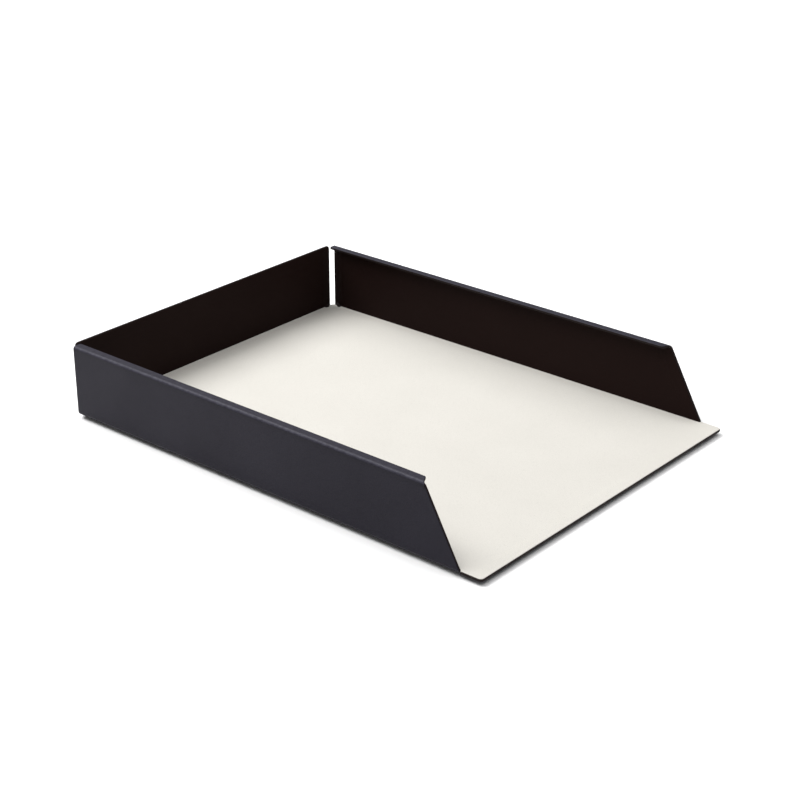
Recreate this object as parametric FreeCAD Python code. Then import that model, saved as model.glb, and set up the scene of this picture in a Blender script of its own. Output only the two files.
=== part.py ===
import FreeCAD, Part
import math
import os

from FreeCAD import Vector

# A low letter tray: one folded steel sheet covered in leather.
# Origin: middle of the footprint, on the table. +X to the right for someone facing the
# open front, +Y from the open front to the back wall, +Z up. All sizes in millimetres.

# Overall size
WIDTH = 246.0
DEPTH = 330.0
HEIGHT = 50.0

# Sheet build-up, from the outside in
COVER_T = 0.6
STEEL_T = 0.8
HEM_T = 0.3
LINING_T = 0.6

# Side walls; the front end slants back by SLANT_RUN from the floor to the top
FOOT_SETBACK = 15.0
SLANT_RUN = 26.0
SIDE_REAR_SETBACK = 3.7
BOTTOM_BEND_R = 2.6
TOP_BEND_R = 2.0
LIP_WIDTH = 6.4
LIP_CORNER_R = 1.6

# Back wall; it stops short of the side walls, which leaves an open slot at each corner
BACK_LENGTH = 237.2
BACK_CORNER_R = 2.4

# Floor
FLANGE_INSET = 0.5
FRONT_CORNER_R = 2.5
REAR_CORNER_R = 1.0

# Leather edges
HEM_WIDTH = 8.0
WALL_LINING_INSET = 0.4
LINING_CORNER_R = 1.2
FLOOR_LINING_INSET = 0.3

# Underside
PANEL_T = 0.6
PANEL_INSET = 7.0
PANEL_CORNER_R = 6.0
FOOT_HEIGHT = 1.8
FOOT_DIAMETER = 12.0
FOOT_INSET = 15.0
FOOT_EDGE_R = 0.5

# Worked out from the sizes above
HALF_W = WIDTH / 2
HALF_D = DEPTH / 2
HALF_BACK = BACK_LENGTH / 2
STEEL_IN = COVER_T + STEEL_T
HEM_IN = STEEL_IN + HEM_T
LINING_IN = STEEL_IN + LINING_T
UNDERSIDE_Z = FOOT_HEIGHT + PANEL_T
STEEL_FLOOR_Z = UNDERSIDE_Z + STEEL_IN
FLOOR_Z = UNDERSIDE_Z + LINING_IN
WALL_TOP_Z = HEIGHT - TOP_BEND_R
FOOT_Y = -HALF_D + FOOT_SETBACK
SIDE_REAR_Y = HALF_D - SIDE_REAR_SETBACK
FLAT_HALF_W = HALF_W - BOTTOM_BEND_R
FLAT_REAR_Y = HALF_D - BOTTOM_BEND_R
FLANGE_HALF_W = HALF_W - FLANGE_INSET
SLOPE = SLANT_RUN / (HEIGHT - FLOOR_Z)


def rounded_face(points, radii):
    """A flat face whose corners are rounded by the radii given, 0 for a sharp corner."""
    corners = []
    for i, point in enumerate(points):
        before = (points[i - 1] - point).normalize()
        after = (points[(i + 1) % len(points)] - point).normalize()
        if radii[i] == 0:
            corners.append((point, None, point))
            continue
        half = before.getAngle(after) / 2
        reach = radii[i] / math.tan(half)
        inside = radii[i] / math.sin(half) - radii[i]
        middle = point + (before + after).normalize() * inside
        corners.append((point + before * reach, middle, point + after * reach))
    edges = []
    for i, (start, middle, end) in enumerate(corners):
        if middle is not None:
            edges.append(Part.Arc(start, middle, end).toShape())
        following = corners[(i + 1) % len(corners)][0]
        edges.append(Part.LineSegment(end, following).toShape())
    return Part.Face(Part.Wire(edges))


def plan_rectangle(half_w, front, rear, low, high, front_r=0.0, rear_r=0.0):
    """A plate centred across the tray, with its front and rear corners rounded in plan."""
    points = [
        Vector(-half_w, front, low),
        Vector(half_w, front, low),
        Vector(half_w, rear, low),
        Vector(-half_w, rear, low),
    ]
    return rounded_face(points, [front_r, front_r, rear_r, rear_r]).extrude(Vector(0, 0, high - low))


def upright_rectangle(half_w, low, high, near, far, top_r):
    """A plate that stands across the tray, with its top corners rounded."""
    points = [
        Vector(-half_w, near, low),
        Vector(half_w, near, low),
        Vector(half_w, near, high),
        Vector(-half_w, near, high),
    ]
    return rounded_face(points, [0, 0, top_r, top_r]).extrude(Vector(0, far - near, 0))


def bend_face(centre, outer_r, inner_r, start_angle, place):
    """A quarter ring; place turns its two section coordinates into a point in space."""
    def at(radius, turned):
        angle = math.radians(start_angle + turned)
        return place(centre[0] + radius * math.cos(angle), centre[1] + radius * math.sin(angle))

    edges = [
        Part.Arc(at(outer_r, 0), at(outer_r, 45), at(outer_r, 90)).toShape(),
        Part.LineSegment(at(outer_r, 90), at(inner_r, 90)).toShape(),
        Part.Arc(at(inner_r, 90), at(inner_r, 45), at(inner_r, 0)).toShape(),
        Part.LineSegment(at(inner_r, 0), at(outer_r, 0)).toShape(),
    ]
    return Part.Face(Part.Wire(edges))


def fuse(solids):
    return solids[0].fuse(solids[1:]).removeSplitter()


def mirrored(solid):
    """The same solid on the other side of the tray."""
    return solid.mirror(Vector(0, 0, 0), Vector(1, 0, 0))


def slant_shift(inset):
    """How far back the slanted front end lies when it is moved in by inset."""
    return inset * math.hypot(1, SLOPE)


def side_wall_region(inset):
    """The side wall's outline seen from the side, its free ends moved in, as a wide prism."""
    foot = FOOT_Y + slant_shift(inset)
    rear = SIDE_REAR_Y - inset
    points = [
        Vector(0, foot, UNDERSIDE_Z),
        Vector(0, rear, UNDERSIDE_Z),
        Vector(0, rear, HEIGHT),
        Vector(0, foot + SLANT_RUN, HEIGHT),
        Vector(0, foot, FLOOR_Z),
    ]
    return rounded_face(points, [0] * len(points)).extrude(Vector(WIDTH, 0, 0))


def side_sheet(outer, inner, inset):
    """The right wall with both bends and its lip, between two depths in the sheet.

    Depths count from the outside face. The free edges are moved in by inset. The slanted front
    end carries on across the lip."""
    def place(x, z):
        return Vector(x, -HALF_D, z)

    run = Vector(0, DEPTH, 0)
    low_centre = (FLAT_HALF_W, UNDERSIDE_Z + BOTTOM_BEND_R)
    high_centre = (HALF_W - TOP_BEND_R, WALL_TOP_Z)
    low_bend = bend_face(low_centre, BOTTOM_BEND_R - outer, BOTTOM_BEND_R - inner, 270, place)
    high_bend = bend_face(high_centre, TOP_BEND_R - outer, TOP_BEND_R - inner, 0, place)
    wall_height = high_centre[1] - low_centre[1]
    corner = Vector(HALF_W - inner, -HALF_D, low_centre[1])
    wall = Part.makeBox(inner - outer, DEPTH, wall_height, corner)
    folded = fuse([low_bend.extrude(run), wall, high_bend.extrude(run)])
    lip_edge = HALF_W - LIP_WIDTH + inset
    lip_front = FOOT_Y + SLANT_RUN + slant_shift(inset)
    tip_front = lip_front + SLOPE * (high_centre[0] - lip_edge)
    lip_rear = SIDE_REAR_Y - inset
    points = [
        Vector(high_centre[0], lip_front, HEIGHT - inner),
        Vector(high_centre[0], lip_rear, HEIGHT - inner),
        Vector(lip_edge, lip_rear, HEIGHT - inner),
        Vector(lip_edge, tip_front, HEIGHT - inner),
    ]
    corner_r = LIP_CORNER_R - inset
    lip = rounded_face(points, [0, 0, corner_r, corner_r]).extrude(Vector(0, 0, inner - outer))
    return fuse([folded.common(side_wall_region(inset)), lip])


def back_sheet(outer, inner, inset):
    """The back wall with its bottom bend, between two depths in the sheet."""
    half = HALF_BACK - inset

    def place(y, z):
        return Vector(-half, y, z)

    centre = (FLAT_REAR_Y, UNDERSIDE_Z + BOTTOM_BEND_R)
    low_bend = bend_face(centre, BOTTOM_BEND_R - outer, BOTTOM_BEND_R - inner, 270, place)
    wall = upright_rectangle(
        half, centre[1], HEIGHT - inset, HALF_D - inner, HALF_D - outer, BACK_CORNER_R - inset
    )
    return fuse([low_bend.extrude(Vector(2 * half, 0, 0)), wall])


def floor_sheet(outer, inner, inset):
    """The flat floor: wide in front of the walls, then between the side bends, then the back's."""
    low = UNDERSIDE_Z + outer
    high = UNDERSIDE_Z + inner
    front = -HALF_D + inset
    shoulder = FOOT_Y + slant_shift(inset)
    side_rear = SIDE_REAR_Y - inset
    free_rear = FLAT_REAR_Y - inset
    return fuse([
        plan_rectangle(FLANGE_HALF_W - inset, front, shoulder, low, high, FRONT_CORNER_R - inset),
        plan_rectangle(FLAT_HALF_W, shoulder, side_rear, low, high),
        plan_rectangle(FLAT_HALF_W - inset, shoulder, free_rear, low, high, 0, REAR_CORNER_R - inset),
        plan_rectangle(HALF_BACK - inset, shoulder, FLAT_REAR_Y, low, high),
    ])


def folded_sheet(outer, inner, inset):
    """Floor, back wall and both side walls, between two depths in the sheet."""
    side = side_sheet(outer, inner, inset)
    floor = floor_sheet(outer, inner, inset)
    return fuse([floor, side, mirrored(side), back_sheet(outer, inner, inset)])


def side_panel(inset):
    """A panel on the right wall's inner face, set back from the wall's free ends."""
    corner = Vector(HALF_W - LINING_IN, -HALF_D, STEEL_FLOOR_Z)
    panel = Part.makeBox(LINING_T, DEPTH, WALL_TOP_Z - STEEL_FLOOR_Z, corner)
    return panel.common(side_wall_region(inset))


def back_panel(inset):
    """A panel on the back wall's inner face, set back from the wall's free edges."""
    return upright_rectangle(
        HALF_BACK - inset, STEEL_FLOOR_Z, HEIGHT - inset, HALF_D - LINING_IN, HALF_D - STEEL_IN,
        LINING_CORNER_R,
    )


def floor_panel(inset):
    """A panel on the floor, set back from the floor's free edges and running to the steel walls."""
    low = STEEL_FLOOR_Z
    front = -HALF_D + inset
    shoulder = FOOT_Y + inset
    front_r = max(FRONT_CORNER_R - inset, LINING_CORNER_R)
    return fuse([
        plan_rectangle(FLANGE_HALF_W - inset, front, shoulder, low, FLOOR_Z, front_r),
        plan_rectangle(HALF_W - STEEL_IN, shoulder, SIDE_REAR_Y - inset, low, FLOOR_Z),
        plan_rectangle(FLAT_HALF_W - inset, shoulder, FLAT_REAR_Y - inset, low, FLOOR_Z),
        plan_rectangle(HALF_BACK - inset, shoulder, HALF_D - STEEL_IN, low, FLOOR_Z),
    ])


def make_outer_cover(steel):
    """One skin round the outside of the steel, its thin hem turned in over the free edges."""
    side = side_panel(HEM_WIDTH)
    bare = [side, mirrored(side), back_panel(HEM_WIDTH), floor_panel(HEM_WIDTH)]
    return folded_sheet(0, HEM_IN, 0).cut([steel] + bare)


def make_underside_panel():
    half_w = HALF_W - PANEL_INSET
    half_d = HALF_D - PANEL_INSET
    corner = PANEL_CORNER_R
    return plan_rectangle(half_w, -half_d, half_d, FOOT_HEIGHT, UNDERSIDE_Z, corner, corner)


def make_foot(x, y):
    foot = Part.makeCylinder(FOOT_DIAMETER / 2, FOOT_HEIGHT, Vector(x, y, 0))
    lower_edge = [edge for edge in foot.Edges if edge.BoundBox.ZMax < FOOT_EDGE_R and edge.isClosed()]
    return foot.makeFillet(FOOT_EDGE_R, lower_edge)


def export(name, shape):
    if len(shape.Solids) != 1 or not shape.isValid():
        raise ValueError(f"{name} is not one valid solid")
    shape.Solids[0].exportStep(f"parts/{name}.step")


def main():
    os.makedirs("parts", exist_ok=True)
    steel = folded_sheet(COVER_T, STEEL_IN, COVER_T)
    cover = make_outer_cover(steel)
    right_lining = side_panel(WALL_LINING_INSET).cut([steel, cover])
    left_lining = mirrored(right_lining)
    back_lining = back_panel(WALL_LINING_INSET).cut([steel, cover])
    wall_linings = [right_lining, left_lining, back_lining]
    export("steel_core", steel)
    export("outer_cover", cover)
    export("right_wall_lining", right_lining)
    export("left_wall_lining", left_lining)
    export("back_wall_lining", back_lining)
    export("floor_lining", floor_panel(FLOOR_LINING_INSET).cut([steel, cover] + wall_linings))
    export("underside_panel", make_underside_panel())
    foot_x = HALF_W - FOOT_INSET
    foot_y = HALF_D - FOOT_INSET
    for row, y in (("front", -foot_y), ("rear", foot_y)):
        for hand, x in (("left", -foot_x), ("right", foot_x)):
            export(f"foot_{row}_{hand}", make_foot(x, y))


main()
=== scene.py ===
import math
from bisect import bisect

import bmesh
import bpy
from mathutils import Euler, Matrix, Quaternion, Vector, noise
from mathutils.geometry import delaunay_2d_cdt


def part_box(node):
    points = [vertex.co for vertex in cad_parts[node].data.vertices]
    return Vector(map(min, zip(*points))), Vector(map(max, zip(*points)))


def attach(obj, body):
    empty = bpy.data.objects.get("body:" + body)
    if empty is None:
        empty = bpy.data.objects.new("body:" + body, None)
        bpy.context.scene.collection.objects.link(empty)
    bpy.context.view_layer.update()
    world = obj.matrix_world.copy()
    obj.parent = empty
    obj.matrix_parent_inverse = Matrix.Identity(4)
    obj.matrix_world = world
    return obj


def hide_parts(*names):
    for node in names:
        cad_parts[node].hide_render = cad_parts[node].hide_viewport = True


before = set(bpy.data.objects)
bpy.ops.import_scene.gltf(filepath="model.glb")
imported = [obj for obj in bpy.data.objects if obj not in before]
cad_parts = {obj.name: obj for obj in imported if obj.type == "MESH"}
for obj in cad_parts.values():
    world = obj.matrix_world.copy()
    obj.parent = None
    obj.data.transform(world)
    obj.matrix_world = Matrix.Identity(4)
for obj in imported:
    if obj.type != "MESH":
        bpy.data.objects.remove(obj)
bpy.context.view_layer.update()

# A leather letter tray. Every leather piece is drawn as a flat blank, as it is cut from the
# hide, and then folded round the steel. Sizes are in millimetres until a mesh is made.

MM = 0.001


def box_mm(node):
    """The low and the high corner of a CAD node, in millimetres."""
    low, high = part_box(node)
    return [c / MM for c in low], [c / MM for c in high]


cover_low, cover_high = box_mm("outer_cover")
steel_low = box_mm("steel_core")[0]
floor_low, floor_high = box_mm("floor_lining")
side_high = box_mm("right_wall_lining")[1]
back_high = box_mm("back_wall_lining")[1]
panel_low, panel_high = box_mm("underside_panel")

# Folds and edges, as the CAD has them
BOTTOM_BEND_R = 2.6
TOP_BEND_R = 2.0
LIP_WIDTH = 6.4
LIP_CORNER_R = 1.6
FOOT_SETBACK = 15.0
SLANT_RUN = 26.0
FLANGE_INSET = 0.5
FRONT_CORNER_R = 2.5
BACK_CORNER_R = 2.4
HEM_WIDTH = 8.0
HEM_T = 0.3
WALL_LINING_INSET = 0.4
FLOOR_LINING_INSET = 0.3
PANEL_CORNER_R = 6.0

# The relief cut at the foot of a side wall, the floor's rear corners, and the linings' clearances
RELIEF = 0.12
REAR_CORNER_R = 0.8
LINING_FOOT_GAP = 0.25
LINING_SIDE_GAP = 0.02

# How close together an outline's points are, and how clear of them the grid inside it stays
FINE = 0.6
COARSE = 3.0
GRID_CLEAR = 0.45

# How far in a lining's edge may be moved where it has no hem under it
PLAIN = 0.7

# Worked out from the frame
HALF_W = cover_high[0]
HALF_D = cover_high[1]
HEIGHT = cover_high[2]
UNDERSIDE_Z = cover_low[2]
FLOOR_Z = floor_high[2]
COVER_T = steel_low[2] - cover_low[2]
STEEL_IN = floor_low[2] - UNDERSIDE_Z
HEM_IN = STEEL_IN + HEM_T
LINING_IN = FLOOR_Z - UNDERSIDE_Z
FOOT_Y = -HALF_D + FOOT_SETBACK
SIDE_REAR_Y = side_high[1] + WALL_LINING_INSET
HALF_BACK = back_high[0] + WALL_LINING_INSET
FLANGE_HALF_W = HALF_W - FLANGE_INSET
FLAT_HALF_W = HALF_W - BOTTOM_BEND_R
FLAT_REAR_Y = HALF_D - BOTTOM_BEND_R

# Lengths along the outside of a wall, from the start of its bottom bend
LOW_ARC = BOTTOM_BEND_R * math.pi / 2
WALL_RUN = HEIGHT - TOP_BEND_R - UNDERSIDE_Z - BOTTOM_BEND_R
HIGH_ARC = TOP_BEND_R * math.pi / 2
LIP_END = LOW_ARC + WALL_RUN + HIGH_ARC + LIP_WIDTH - TOP_BEND_R
BACK_END = LOW_ARC + HEIGHT - UNDERSIDE_Z - BOTTOM_BEND_R


def fold_up(run, depth, lip):
    """How far out and up a point lies that is run past the start of a wall's bottom bend."""
    if run <= 0:
        return run, depth
    if run < LOW_ARC:
        angle = run / BOTTOM_BEND_R
        radius = BOTTOM_BEND_R - depth
        return radius * math.sin(angle), BOTTOM_BEND_R - radius * math.cos(angle)
    run -= LOW_ARC
    if run < WALL_RUN or not lip:
        return BOTTOM_BEND_R - depth, BOTTOM_BEND_R + run
    run -= WALL_RUN
    centre_out = BOTTOM_BEND_R - TOP_BEND_R
    centre_up = BOTTOM_BEND_R + WALL_RUN
    if run < HIGH_ARC:
        angle = run / TOP_BEND_R
        radius = TOP_BEND_R - depth
        return centre_out + radius * math.cos(angle), centre_up + radius * math.sin(angle)
    return centre_out - (run - HIGH_ARC), centre_up + TOP_BEND_R - depth


def fold(x, y, depth):
    """Where a point of the flat blank lies on the tray, depth below the outside face."""
    if abs(x) > FLAT_HALF_W and y > FOOT_Y:
        out, up = fold_up(abs(x) - FLAT_HALF_W, depth, True)
        return Vector((math.copysign(FLAT_HALF_W + out, x), y, UNDERSIDE_Z + up))
    if y > FLAT_REAR_Y:
        out, up = fold_up(y - FLAT_REAR_Y, depth, False)
        return Vector((x, FLAT_REAR_Y + out, UNDERSIDE_Z + up))
    return Vector((x, y, UNDERSIDE_Z + depth))


# Outlines: corners are (x, y, corner radius, spacing of the points up to the next corner, and
# how far the edge up to the next corner may be moved inwards before it is held back)

def mirrored(corners, front):
    """The right half of an outline, front to back, and then its mirror image."""
    edges = [front] + [corner[3:] for corner in corners[:-1]]
    left = [(-c[0], c[1], c[2], *edge) for c, edge in zip(corners, edges)]
    return corners + left[::-1]


class Outline:
    """A closed outline with rounded corners, and the same outline drawn any distance inside."""

    SMALLEST_R = 0.02
    SLOWED = 0.1
    ARC_SHARE = 0.45

    def __init__(self, corners):
        self.points = [Vector(c[:2]) for c in corners]
        self.radii = [c[2] for c in corners]
        self.limits = [c[4] if len(c) > 4 else HEM_WIDTH for c in corners]
        self.steps = [max(4, min(12, round(3 + 2.5 * r))) for r in self.radii]
        rounded = self._corners(0.0)
        self.parts = []
        for i, corner in enumerate(rounded):
            length = (rounded[(i + 1) % len(rounded)][0] - corner[-1]).length
            self.parts.append(max(1, math.ceil(length / corners[i][3])))

    def _corners(self, inset):
        count = len(self.points)
        heads = [(self.points[(i + 1) % count] - self.points[i]).normalized() for i in range(count)]
        inward = [Vector((-h.y, h.x)) for h in heads]
        shifts = [min(inset, limit + self.SLOWED * max(inset - limit, 0)) for limit in self.limits]
        moved = []
        for i in range(count):
            before, after = inward[i - 1], inward[i]
            lean = before.dot(after)
            first = (shifts[i - 1] - shifts[i] * lean) / (1 - lean * lean)
            second = (shifts[i] - shifts[i - 1] * lean) / (1 - lean * lean)
            moved.append(self.points[i] + before * first + after * second)
        rounded = []
        for i in range(count):
            before, after = heads[i - 1], heads[i]
            turn = before.angle_signed(after)
            sign = 1 if before.cross(after) > 0 else -1
            turn = abs(turn)
            room = min((moved[i] - moved[i - 1]).length, (moved[(i + 1) % count] - moved[i]).length)
            wanted = self.radii[i] - inset if sign > 0 else self.radii[i]
            fits = self.ARC_SHARE * room / math.tan(turn / 2)
            radius = max(min(wanted, fits), self.SMALLEST_R)
            reach = radius * math.tan(turn / 2)
            centre = moved[i] - before * reach + inward[i - 1] * (sign * radius)
            spoke = moved[i] - before * reach - centre
            arc = []
            for k in range(self.steps[i] + 1):
                a = sign * turn * k / self.steps[i]
                arc.append(centre + Vector((
                    spoke.x * math.cos(a) - spoke.y * math.sin(a),
                    spoke.x * math.sin(a) + spoke.y * math.cos(a),
                )))
            rounded.append(arc)
        return rounded

    def ring(self, inset):
        """The outline's points, inset inwards. Every ring has the same number of points."""
        rounded = self._corners(inset)
        points = []
        for i, arc in enumerate(rounded):
            points += arc
            start, end = arc[-1], rounded[(i + 1) % len(rounded)][0]
            points += [start.lerp(end, k / self.parts[i]) for k in range(1, self.parts[i])]
        return points


def stops(low, high, step):
    """Evenly spaced values from low to high, about step apart."""
    count = max(1, round((high - low) / step))
    return [low + (high - low) * k / count for k in range(count + 1)]


def grid_inside(loop, xs, ys):
    """The points of a grid that lie inside the loop and clear of its points."""
    cells = {}
    for x, y in loop:
        cells.setdefault((round(x), round(y)), []).append((x, y))
    sides = list(zip(loop, loop[1:] + loop[:1]))
    found = []
    for x in xs:
        cuts = sorted(
            ay + (x - ax) * (by - ay) / (bx - ax) for (ax, ay), (bx, by) in sides if (ax > x) != (bx > x)
        )
        for y in ys:
            if bisect(cuts, y) % 2 == 0:
                continue
            column, row = round(x), round(y)
            around = [
                q for i in (-1, 0, 1) for k in (-1, 0, 1) for q in cells.get((column + i, row + k), ())
            ]
            if all(math.dist((x, y), q) > GRID_CLEAR for q in around):
                found.append((x, y))
    return found


def filled(loop, xs, ys):
    """Triangles that fill the loop, with a grid of points inside it: (points, triangles)."""
    inner = grid_inside(loop, xs, ys)
    points = [tuple(p) for p in loop] + inner
    edges = [(i, (i + 1) % len(loop)) for i in range(len(loop))]
    made, _, faces, origin, _, _ = delaunay_2d_cdt([Vector(p) for p in points], edges, [], 1, 1e-5)
    first = [o[0] if o else None for o in origin]
    return points, [tuple(first[v] for v in face) for face in faces]


def shell(name, outline, profile, place, xs, ys, wear_and_painted_light=None, soft=0.0, dyed=math.inf):
    """A closed skin. profile lists (inset, depth) from the shown face's rim, round the edge, to
    the hidden face's rim; place folds a blank's point. soft is how uneven the shown face is, and
    dyed is the ring from which the edge is dyed."""
    verts, faces, worn_and_painted_light, dye = [], [], [], []
    rings = [outline.ring(inset) for inset, _ in profile]
    count = len(rings[0])
    rim = len(profile) - 1

    def add(x, y, depth, weight, ring):
        swell = soft * weight * (0.5 + 0.5 * noise.noise(Vector((x, y, 7.0)) / 17.0))
        verts.append(place(x, y, depth + swell) * MM)
        # The wear mark: rubbing, and where light and shade are painted on the cover.
        worn_and_painted_light.append(wear_and_painted_light(x, y) if wear_and_painted_light else 0.0)
        dye.append(1.0 if ring >= dyed else 0.0)

    for k, (ring, (_, depth)) in enumerate(zip(rings, profile)):
        weight = max(0.0, 1.0 - k / 3.0)
        for x, y in ring:
            add(x, y, depth, weight, k)
        if k:
            for i in range(count):
                j = (i + 1) % count
                faces.append((k * count - count + i, k * count - count + j, k * count + j, k * count + i))
    edge_count = len(faces)
    for k, flip in ((0, False), (rim, True)):
        points, triangles = filled(rings[k], xs, ys)
        start = len(verts)
        for x, y in points[count:]:
            add(x, y, profile[k][1], 1.0 if k == 0 else 0.0, k)
        for tri in triangles:
            face = [v + k * count if v < count else v - count + start for v in tri]
            faces.append(tuple(reversed(face)) if flip else tuple(face))
    return make_mesh(name, verts, faces, {"wear_and_painted_light": worn_and_painted_light, "edge_dye": dye}, edge_count)


def make_mesh(name, verts, faces, marks=None, first_triangle=None):
    """An object from points in metres; the triangles from first_triangle on are paired up."""
    mesh = bpy.data.meshes.new(name)
    mesh.from_pydata(verts, [], faces)
    for mark, values in (marks or {}).items():
        mesh.attributes.new(mark, "FLOAT", "POINT").data.foreach_set("value", values)
    work = bmesh.new()
    work.from_mesh(mesh)
    work.faces.ensure_lookup_table()
    if first_triangle is not None:
        bmesh.ops.join_triangles(
            work, faces=work.faces[first_triangle:], cmp_seam=False, cmp_sharp=False, cmp_uvs=False,
            cmp_vcols=False, cmp_materials=False, angle_face_threshold=math.radians(15),
            angle_shape_threshold=math.radians(20),
        )
    bmesh.ops.recalc_face_normals(work, faces=work.faces)
    work.to_mesh(mesh)
    work.free()
    mesh.shade_smooth()
    piece = bpy.data.objects.new(name, mesh)
    bpy.context.scene.collection.objects.link(piece)
    return piece


def even_normals(piece):
    """Keeps the shading of the flat faces flat beside their rounded edges."""
    piece.modifiers.new("even_normals", "WEIGHTED_NORMAL").weight = 80


# The blank of the outer cover
foot_run = BOTTOM_BEND_R * math.acos(1 - (FLOOR_Z - UNDERSIDE_Z) / BOTTOM_BEND_R)
wall_top_run = LOW_ARC + WALL_RUN
lip_x = FLAT_HALF_W + LIP_END
flap_front = FOOT_Y + RELIEF / 2
slope = SLANT_RUN / (HEIGHT - FLOOR_Z)
lip_front = flap_front + SLANT_RUN + slope * (LIP_WIDTH - TOP_BEND_R)

cover_outline = Outline(mirrored([
    (FLANGE_HALF_W, -HALF_D, FRONT_CORNER_R, FINE),
    (FLANGE_HALF_W, FOOT_Y - RELIEF / 2, 0.7, FINE),
    (FLAT_HALF_W, FOOT_Y - RELIEF / 2, 0.25, FINE),
    (FLAT_HALF_W, flap_front, 0.25, FINE),
    (FLAT_HALF_W + foot_run, flap_front, 1.6, FINE),
    (lip_x, lip_front, LIP_CORNER_R, COARSE),
    (lip_x, SIDE_REAR_Y, LIP_CORNER_R, FINE),
    (FLAT_HALF_W, SIDE_REAR_Y, 0.4, FINE),
    (FLAT_HALF_W, FLAT_REAR_Y, REAR_CORNER_R, FINE),
    (HALF_BACK, FLAT_REAR_Y, 0.4, FINE),
    (HALF_BACK, FLAT_REAR_Y + BACK_END, BACK_CORNER_R, COARSE),
], (FINE,)))


def bend_stops(start, lip):
    """Distances across a wall that are close together in its bends."""
    values = stops(0, LOW_ARC, LOW_ARC / 7) + stops(LOW_ARC, wall_top_run, COARSE)[1:]
    if lip:
        values += stops(wall_top_run, wall_top_run + HIGH_ARC, HIGH_ARC / 8)[1:]
        values += stops(wall_top_run + HIGH_ARC, LIP_END, 1.0)[1:]
    else:
        values += [BACK_END - 1.0]
    return [start + v for v in values]


def wrapped_edge(radius, near, far, steps=4):
    """A rounded edge from the shown face at depth near, round to depth far: (inset, depth)."""
    turn = [math.pi / 2 * k / steps for k in range(steps + 1)]
    way = 1 if far > near else -1
    first = [(radius * (1 - math.sin(a)), near + way * radius * (1 - math.cos(a))) for a in turn]
    second = [(radius * (1 - math.cos(a)), far - way * radius * (1 - math.sin(a))) for a in turn]
    return first + second


def cover_wear_and_painted_light(x, y):
    """Rubbing and painted light on the cover: 1 along the top bend, where hands rub and a highlight is
    painted, less on the lip, where it paints light, and below 0 in the crease under the bend, where it paints
    shade.
    """
    if y < FOOT_Y:
        return 0.0
    run = abs(x) - FLAT_HALF_W - wall_top_run
    # Painted highlight along the top bend, and painted shade in the crease just under it.
    bend = math.exp(-((run - 0.5 * HIGH_ARC) / 1.0) ** 2) - math.exp(-((run + 0.7) / 0.7) ** 2)
    # Painted light: the lip's top is lifted a little.
    return min(1.0, bend + 0.16 * (1.0 + math.tanh((run - HIGH_ARC) / 0.6)))


def make_cover():
    edge = wrapped_edge(0.5, 0.0, HEM_IN)
    hem = [(3.0, HEM_IN), (HEM_WIDTH - 0.4, HEM_IN - 0.04), (HEM_WIDTH, STEEL_IN + 0.1)]
    back_side = [(HEM_WIDTH, STEEL_IN), (COVER_T, STEEL_IN), (COVER_T, COVER_T)]
    side = bend_stops(FLAT_HALF_W, True)
    across = [-v for v in reversed(side)] + stops(-FLAT_HALF_W, FLAT_HALF_W, COARSE)[1:-1] + side
    along = stops(-HALF_D, FLAT_REAR_Y, COARSE)[:-1] + bend_stops(FLAT_REAR_Y, False)
    # The wear mark paints a highlight on the top bend and the lip, and shade in the crease under the bend.
    return shell("leather_cover", cover_outline, edge + hem + back_side, fold, across, along,
                 wear_and_painted_light=cover_wear_and_painted_light, soft=0.05, dyed=3)


def lining_profile(front, thickness, hem_reach):
    """A thin lining: a soft ridge where it covers the hem's end, a round rim, a stepped back."""
    ridge = [(hem_reach + 1.1, front - 0.09), (hem_reach + 0.5, front - 0.06), (hem_reach - 0.1, front)]
    band = [(hem_reach / 2, front), (0.6, front)]
    rim = [(0.22, front - 0.02), (0.07, front - 0.08), (0.0, front - 0.17), (0.0, front - thickness / 2)]
    back = [(hem_reach + 0.1, front - thickness / 2), (hem_reach + 0.5, front - thickness + 0.02)]
    return ridge + band + rim + back


def make_side_lining(name, hand):
    low = STEEL_IN + UNDERSIDE_Z + LINING_FOOT_GAP
    high = HEIGHT - TOP_BEND_R
    shift = WALL_LINING_INSET * math.hypot(1, slope)
    foot = flap_front + shift
    rear = SIDE_REAR_Y - WALL_LINING_INSET
    outline = Outline([
        (foot + slope * (low - FLOOR_Z), low, 0.3, COARSE, PLAIN),
        (rear, low, 0.3, COARSE),
        (rear, high, 0.6, COARSE, 1.7),
        (foot + slope * (high - FLOOR_Z), high, 0.8, COARSE),
    ])

    def place(y, z, depth):
        return Vector((hand * (HALF_W - depth), y, z))

    ys = stops(-HALF_D, HALF_D, COARSE)
    zs = stops(low, high, COARSE)
    profile = lining_profile(LINING_IN, LINING_IN - STEEL_IN, HEM_WIDTH - WALL_LINING_INSET)
    return shell(name, outline, profile, place, ys, zs, soft=-0.04)


def make_back_lining():
    low = STEEL_IN + UNDERSIDE_Z + LINING_FOOT_GAP
    high = HEIGHT - WALL_LINING_INSET
    half = HALF_BACK - WALL_LINING_INSET
    outline = Outline([
        (-half, low, 0.3, COARSE, PLAIN), (half, low, 0.3, COARSE),
        (half, high, BACK_CORNER_R, COARSE), (-half, high, BACK_CORNER_R, COARSE),
    ])

    def place(x, z, depth):
        return Vector((x, HALF_D - depth, z))

    profile = lining_profile(LINING_IN, LINING_IN - STEEL_IN, HEM_WIDTH - WALL_LINING_INSET)
    return shell("back_lining", outline, profile, place, stops(-half, half, COARSE),
                 stops(low, high, COARSE), soft=-0.04)


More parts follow.
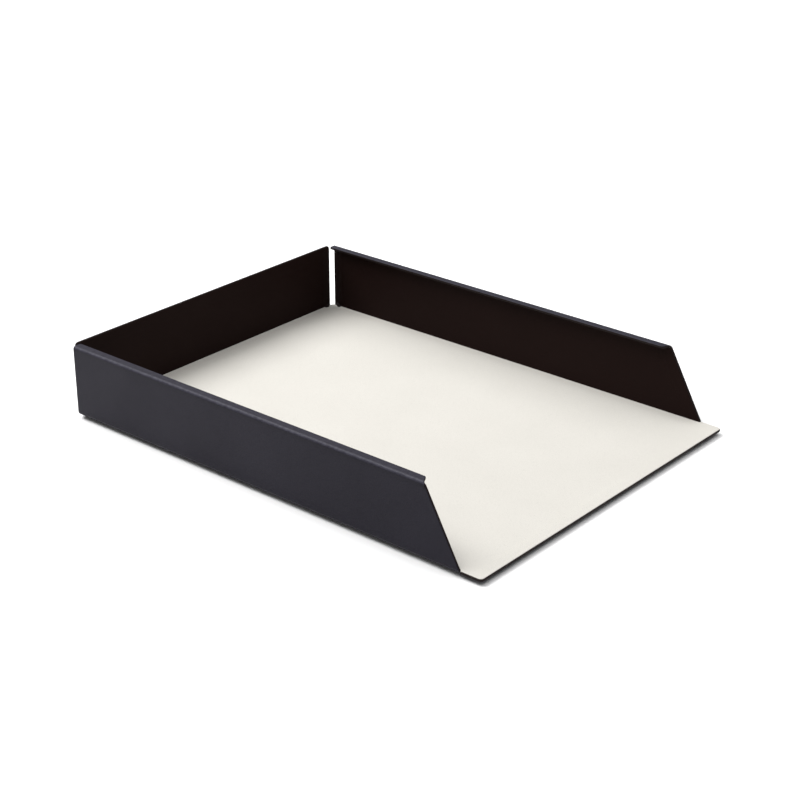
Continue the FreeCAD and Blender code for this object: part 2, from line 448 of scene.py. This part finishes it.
def make_floor_lining():
    flange = FLANGE_HALF_W - FLOOR_LINING_INSET
    wall_x = HALF_W - LINING_IN - LINING_SIDE_GAP
    end_y = SIDE_REAR_Y - FLOOR_LINING_INSET
    corner_x = FLAT_HALF_W - FLOOR_LINING_INSET
    corner_y = FLAT_REAR_Y - FLOOR_LINING_INSET
    end_x = HALF_BACK - FLOOR_LINING_INSET
    wall_y = HALF_D - LINING_IN - LINING_SIDE_GAP
    shoulder = FOOT_Y + FLOOR_LINING_INSET
    outline = Outline(mirrored([
        (flange, -HALF_D + FLOOR_LINING_INSET, FRONT_CORNER_R - FLOOR_LINING_INSET, COARSE, PLAIN),
        (flange, FOOT_Y - FLOOR_LINING_INSET, 0.3, FINE, PLAIN),
        (wall_x, shoulder, 0.5, COARSE, PLAIN),
        (wall_x, end_y, 0.4, FINE, PLAIN),
        (corner_x, end_y + 0.4, 0.4, FINE, PLAIN),
        (corner_x, corner_y, 0.5, FINE, PLAIN),
        (end_x, corner_y + 0.4, 0.4, FINE, PLAIN),
        (end_x, wall_y, 0.3, COARSE, PLAIN),
    ], (COARSE,)))

    def place(x, y, depth):
        return Vector((x, y, UNDERSIDE_Z + depth))

    profile = lining_profile(LINING_IN, LINING_IN - STEEL_IN, HEM_WIDTH - FLOOR_LINING_INSET)
    return shell("floor_leather", outline, profile, place, stops(-flange, flange, COARSE),
                 stops(-HALF_D, wall_y, COARSE), soft=-0.05)


def make_panel():
    half_w, half_d = panel_high[0], panel_high[1]
    outline = Outline([
        (-half_w, -half_d, PANEL_CORNER_R, COARSE), (half_w, -half_d, PANEL_CORNER_R, COARSE),
        (half_w, half_d, PANEL_CORNER_R, COARSE), (-half_w, half_d, PANEL_CORNER_R, COARSE),
    ])

    def place(x, y, depth):
        return Vector((x, y, panel_low[2] + depth))

    thickness = panel_high[2] - panel_low[2]
    profile = [(2.0, 0.0), (0.5, 0.03), (0.15, 0.14), (0.0, 0.3), (0.0, thickness), (1.0, thickness)]
    return shell("microfibre_panel", outline, profile, place, stops(-half_w, half_w, 8.0),
                 stops(-half_d, half_d, 8.0), soft=0.05)


def make_foot(node):
    """A moulded bumper: rounded rim, flat sole with a shallow dished middle, small flange."""
    low, high = box_mm(node)
    cx, cy = (low[0] + high[0]) / 2, (low[1] + high[1]) / 2
    radius, height = (high[0] - low[0]) / 2, high[2] - low[2]
    rim = 0.6
    sole = radius - 0.9
    section = [(0.6, 0.35), (2.0, 0.3), (2.9, 0.1), (3.4, 0.0), (sole, 0.0)]
    section += [
        (sole + rim * math.sin(a), rim * (1 - math.cos(a)))
        for a in (math.pi / 2 * k / 5 for k in range(1, 6))
    ]
    section += [(radius - 0.25, height - 0.35), (radius, height - 0.3), (radius, height)]
    turns = 64
    verts, faces = [], []
    for r, z in section:
        for k in range(turns):
            a = 2 * math.pi * k / turns
            verts.append(Vector((cx + r * math.cos(a), cy + r * math.sin(a), z)) * MM)
    for s in range(len(section) - 1):
        for k in range(turns):
            j = (k + 1) % turns
            faces.append((s * turns + k, s * turns + j, (s + 1) * turns + j, (s + 1) * turns + k))
    faces.append(tuple(range(turns)))
    faces.append(tuple(range(len(verts) - 1, len(verts) - 1 - turns, -1)))
    return make_mesh(node.replace("foot", "bumper"), verts, faces)


# Materials

class Nodes:
    """A material's node tree, with short calls to add and join nodes."""

    def __init__(self, name):
        self.material = bpy.data.materials.new(name)
        self.material.use_nodes = True
        self.tree = self.material.node_tree
        self.shader = self.tree.nodes["Principled BSDF"]
        self.place = self.add("ShaderNodeTexCoord").outputs["Object"]

    def add(self, kind, **inputs):
        node = self.tree.nodes.new(kind)
        for name, value in inputs.items():
            self.set(node, name.replace("_", " "), value)
        return node

    def set(self, node, name, value):
        if isinstance(value, bpy.types.NodeSocket):
            self.tree.links.new(value, node.inputs[name])
        else:
            node.inputs[name].default_value = value

    def noise(self, scale, detail=3.0, at=None):
        node = self.add("ShaderNodeTexNoise", Scale=scale, Detail=detail, Vector=at or self.place)
        return node.outputs["Fac"]

    def mix(self, factor, first, second):
        node = self.tree.nodes.new("ShaderNodeMix")
        node.data_type = "RGBA"
        for socket, value in ((node.inputs[0], factor), (node.inputs[6], first), (node.inputs[7], second)):
            if isinstance(value, bpy.types.NodeSocket):
                self.tree.links.new(value, socket)
            else:
                socket.default_value = value if isinstance(value, float) else (*value, 1.0)
        return node.outputs[2]

    def math(self, operation, first, second=0.0, clamp=False):
        node = self.tree.nodes.new("ShaderNodeMath")
        node.operation = operation
        node.use_clamp = clamp
        for socket, value in zip(node.inputs, (first, second)):
            if isinstance(value, bpy.types.NodeSocket):
                self.tree.links.new(value, socket)
            else:
                socket.default_value = value
        return node.outputs[0]

    def ramp(self, value, low, high, to_low=0.0, to_high=1.0):
        node = self.tree.nodes.new("ShaderNodeMapRange")
        for name, number in (("From Min", low), ("From Max", high), ("To Min", to_low), ("To Max", to_high)):
            node.inputs[name].default_value = number
        self.tree.links.new(value, node.inputs["Value"])
        return node.outputs["Result"]

    def attribute(self, name):
        node = self.add("ShaderNodeAttribute")
        node.attribute_name = name
        return node.outputs["Fac"]

    def bump(self, height, distance):
        node = self.add("ShaderNodeBump", Height=height, Distance=distance)
        self.tree.links.new(node.outputs["Normal"], self.shader.inputs["Normal"])


def leather(name, dark, light, grain, depth, rough, level, worn_and_painted_light=None, dyed=None):
    """Pebbled leather: grain is the pebbles' size and depth their height, in millimetres, and the grain's
    creases get painted shade. worn is the colour where it is rubbed and where a highlight is painted, with
    painted shade in the crease under it, and dyed the colour of its cut edges."""
    n = Nodes(name)
    warp = n.add("ShaderNodeTexNoise", Scale=0.35 / (grain * MM), Detail=2.0, Vector=n.place)
    shifted = n.tree.nodes.new("ShaderNodeVectorMath")
    shifted.operation = "MULTIPLY_ADD"
    n.tree.links.new(warp.outputs["Color"], shifted.inputs[0])
    shifted.inputs[1].default_value = (grain * MM * 1.1,) * 3
    n.tree.links.new(n.place, shifted.inputs[2])
    at = shifted.outputs["Vector"]
    cells = n.tree.nodes.new("ShaderNodeTexVoronoi")
    cells.feature = "DISTANCE_TO_EDGE"
    n.set(cells, "Vector", at)
    n.set(cells, "Scale", 1 / (grain * MM))
    pebble = n.ramp(cells.outputs["Distance"], 0.0, 0.28)
    pores = n.noise(2.6 / (grain * MM), 4.0, at)
    height = n.math("ADD", n.math("MULTIPLY", pebble, 0.75), n.math("MULTIPLY", pores, 0.5))
    n.bump(height, depth * MM)
    patches = n.noise(22.0, 4.0)
    flecks = n.noise(900.0, 3.0)
    tone = n.math("ADD", n.math("MULTIPLY", n.ramp(patches, 0.3, 0.7), 0.6), n.math("MULTIPLY", flecks, 0.4))
    colour = n.mix(tone, dark, light)
    # Painted shade: the grain's creases are darkened.
    crease_shade = n.ramp(cells.outputs["Distance"], 0.0, 0.1, 0.35, 0.0)
    colour = n.mix(crease_shade, colour, tuple(c * 0.55 for c in dark))
    roughness = n.ramp(tone, 0.0, 1.0, rough + 0.04, rough - 0.04)
    if worn_and_painted_light:
        # The wear mark lightens where the leather is rubbed and where a highlight is painted.
        wear_and_painted_light = n.attribute("wear_and_painted_light")
        patchy_wear_and_highlight = n.math("MULTIPLY", wear_and_painted_light, n.ramp(n.noise(320.0, 5.0), 0.3, 0.75, 0.35, 1.0), clamp=True)
        colour = n.mix(patchy_wear_and_highlight, colour, worn_and_painted_light)
        # Painted shade in the crease under the top bend, where the wear mark is below 0.
        colour = n.mix(n.math("MULTIPLY", wear_and_painted_light, -1.0, clamp=True), colour, tuple(c * 0.3 for c in dark))
        roughness = n.math("SUBTRACT", roughness, n.math("MULTIPLY", patchy_wear_and_highlight, 0.06))
    if dyed:
        dye = n.attribute("edge_dye")
        colour = n.mix(dye, colour, n.mix(flecks, tuple(c * 0.7 for c in dyed), tuple(c * 1.3 for c in dyed)))
        roughness = n.math("ADD", roughness, n.math("MULTIPLY", dye, 0.12))
    n.set(n.shader, "Base Color", colour)
    n.set(n.shader, "Roughness", roughness)
    n.set(n.shader, "Specular IOR Level", level)
    return n.material


def microfibre():
    n = Nodes("microfibre")
    nap = n.noise(2600.0, 5.0)
    n.set(n.shader, "Base Color", n.mix(n.noise(60.0), (0.012, 0.012, 0.014), (0.03, 0.03, 0.034)))
    n.set(n.shader, "Roughness", n.ramp(nap, 0.0, 1.0, 0.85, 1.0))
    n.set(n.shader, "Sheen Weight", 0.25)
    n.bump(nap, 0.08 * MM)
    return n.material


def rubber():
    n = Nodes("rubber")
    n.set(n.shader, "Base Color", n.mix(n.noise(250.0), (0.012, 0.012, 0.012), (0.022, 0.022, 0.022)))
    n.set(n.shader, "Roughness", n.ramp(n.noise(900.0), 0.0, 1.0, 0.55, 0.75))
    n.bump(n.noise(3500.0), 0.01 * MM)
    return n.material


def plated_steel():
    n = Nodes("plated_steel")
    n.set(n.shader, "Base Color", n.mix(n.noise(120.0), (0.42, 0.43, 0.44), (0.55, 0.56, 0.57)))
    n.set(n.shader, "Metallic", 1.0)
    n.set(n.shader, "Roughness", n.ramp(n.noise(400.0), 0.0, 1.0, 0.3, 0.5))
    return n.material


def studio_floor():
    n = Nodes("studio_floor")
    n.set(n.shader, "Base Color", n.mix(n.noise(3.0), (0.92, 0.92, 0.92), (0.93, 0.93, 0.93)))
    n.set(n.shader, "Roughness", 0.9)
    n.set(n.shader, "Specular IOR Level", 0.1)
    return n.material


def finish_piece(piece, material, slot, *nodes):
    piece.data.materials.append(material)
    even_normals(piece)
    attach(piece, "root")
    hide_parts(*nodes)


def make_tray():
    # worn: the colour of rubbing and of the painted highlight on the top bend and the lip.
    outer = leather("anthracite_leather", (0.0086, 0.0071, 0.0141), (0.0122, 0.0103, 0.0193), grain=0.8,
                    depth=0.05, rough=0.5, level=0.15, worn_and_painted_light=(0.062, 0.060, 0.080),
                    dyed=(0.011, 0.006, 0.006))
    brown = leather("brown_leather", (0.0118, 0.0055, 0.0047), (0.015, 0.0072, 0.0062), grain=0.6,
                    depth=0.03, rough=0.6, level=0.05)
    ivory = leather("ivory_leather", (0.568, 0.549, 0.508), (0.602, 0.583, 0.541), grain=0.6,
                    depth=0.025, rough=0.62, level=0.15)
    finish_piece(make_cover(), outer, "cover_leather", "outer_cover")
    for name, hand in (("left", -1), ("right", 1)):
        piece = make_side_lining(f"{name}_lining", hand)
        finish_piece(piece, brown, "wall_lining_leather", f"{name}_wall_lining")
    finish_piece(make_back_lining(), brown, "wall_lining_leather", "back_wall_lining")
    finish_piece(make_floor_lining(), ivory, "floor_lining_leather", "floor_lining")
    finish_piece(make_panel(), microfibre(), "panel_microfibre", "underside_panel")
    black = rubber()
    for node in sorted(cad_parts):
        if node.startswith("foot_"):
            finish_piece(make_foot(node), black, "foot_rubber", node)
    steel = plated_steel()
    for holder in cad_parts["steel_core"].material_slots:
        holder.material = steel


# Studio

def make_stage():
    """A round floor, finer near the tray. Here the radii are in metres."""
    rings = [0.3, 0.8, 2.0, 5.0]
    verts, faces, turns = [Vector((0, 0, 0))], [], 48
    for r in rings:
        verts += [
            Vector((r * math.cos(2 * math.pi * k / turns), r * math.sin(2 * math.pi * k / turns), 0))
            for k in range(turns)
        ]
    for k in range(turns):
        j = (k + 1) % turns
        faces.append((0, 1 + k, 1 + j))
        for s in range(len(rings) - 1):
            a, b = 1 + s * turns, 1 + (s + 1) * turns
            faces.append((a + k, b + k, b + j, a + j))
    floor = make_mesh("studio_floor", verts, faces)
    floor.data.materials.append(studio_floor())


def area_light(name, place, aim, size, power):
    lamp = bpy.data.lights.new(name, "AREA")
    lamp.shape = "RECTANGLE"
    lamp.size, lamp.size_y = size
    lamp.energy = power
    holder = bpy.data.objects.new(name, lamp)
    holder.location = place
    holder.rotation_euler = (Vector(aim) - Vector(place)).to_track_quat("-Z", "Y").to_euler()
    bpy.context.scene.collection.objects.link(holder)


def make_lights():
    world = bpy.data.worlds.new("studio")
    world.use_nodes = True
    sky = world.node_tree.nodes["Background"]
    sky.inputs["Color"].default_value = (1.0, 1.0, 1.0, 1.0)
    sky.inputs["Strength"].default_value = 0.264
    bpy.context.scene.world = world
    area_light("ceiling", (0.6, 0.8, 2.8), (0.6, 0.8, 0.0), (6.0, 6.0), 134.0)
    area_light("key_softbox", (-0.3, 0.95, 1.5), (0.0, 0.0, 0.0), (1.2, 1.2), 31.0)
    bpy.context.scene.view_settings.view_transform = "Standard"


def make_camera():
    """Looks at the tray from its open front and left, from about 25 degrees above."""
    azimuth, elevation, roll = (math.radians(a) for a in (-49.73, 24.80, 0.02))
    camera = bpy.data.cameras.new("camera")
    camera.lens = 80.73
    camera.sensor_width = 36.0
    holder = bpy.data.objects.new("camera", camera)
    holder.location = (-0.7820, -0.6667, 0.4925)
    turn = Euler((math.pi / 2 - elevation, 0.0, azimuth)).to_quaternion()
    holder.rotation_euler = (turn @ Quaternion((0.0, 0.0, 1.0), roll)).to_euler()
    bpy.context.scene.collection.objects.link(holder)
    bpy.context.scene.camera = holder


make_tray()
make_stage()
make_lights()
make_camera()
